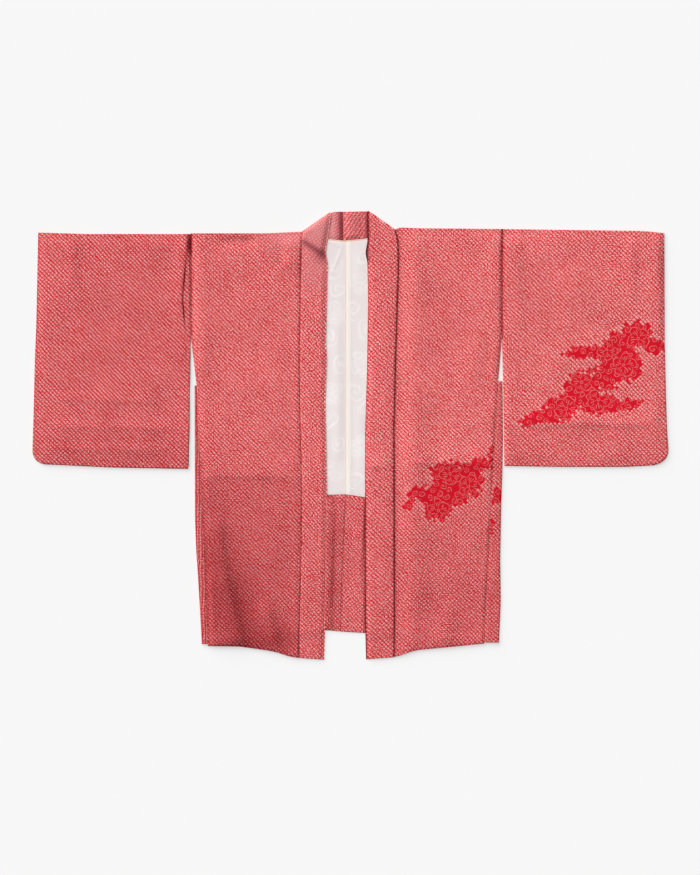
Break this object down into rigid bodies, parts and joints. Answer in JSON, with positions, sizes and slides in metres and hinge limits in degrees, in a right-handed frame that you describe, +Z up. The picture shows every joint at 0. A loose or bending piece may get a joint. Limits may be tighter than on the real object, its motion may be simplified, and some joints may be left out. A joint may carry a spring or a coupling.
{
  "type": "haori",
  "caption": "Haori laid flat, fronts uppermost: long collar band left open, wide flat sleeves, side gussets, white back lining and turned-up hem, in dotted tie-dyed silk.",
  "frame": {"origin": "centre of the garment's outline, on the surface that it lies on", "axes": "+X from the wearer's right sleeve to the left one, +Y from hem to neck, +Z up from the surface to the fronts"},
  "size_m": [1.2717, 0.8987, 0.0085],
  "materials": {
    "shibori_silk": "red silk crepe tie-dyed all over in small pale dots, crinkled and dull",
    "lining_silk": "white figured silk, smooth with a soft sheen",
    "sleeve_lining_silk": "cream silk, smooth"
  },
  "bodies": {
    "root": {"body_right": "shibori_silk", "body_left": "shibori_silk", "sleeve_right": "shibori_silk", "sleeve_left": "shibori_silk", "gusset_right": "shibori_silk", "gusset_left": "shibori_silk", "collar_right": "shibori_silk", "collar_left": "shibori_silk", "lining_back_right": "lining_silk", "lining_back_left": "lining_silk", "sleeve_lining_right": "sleeve_lining_silk", "sleeve_lining_left": "sleeve_lining_silk"}
  },
  "joints": []
}
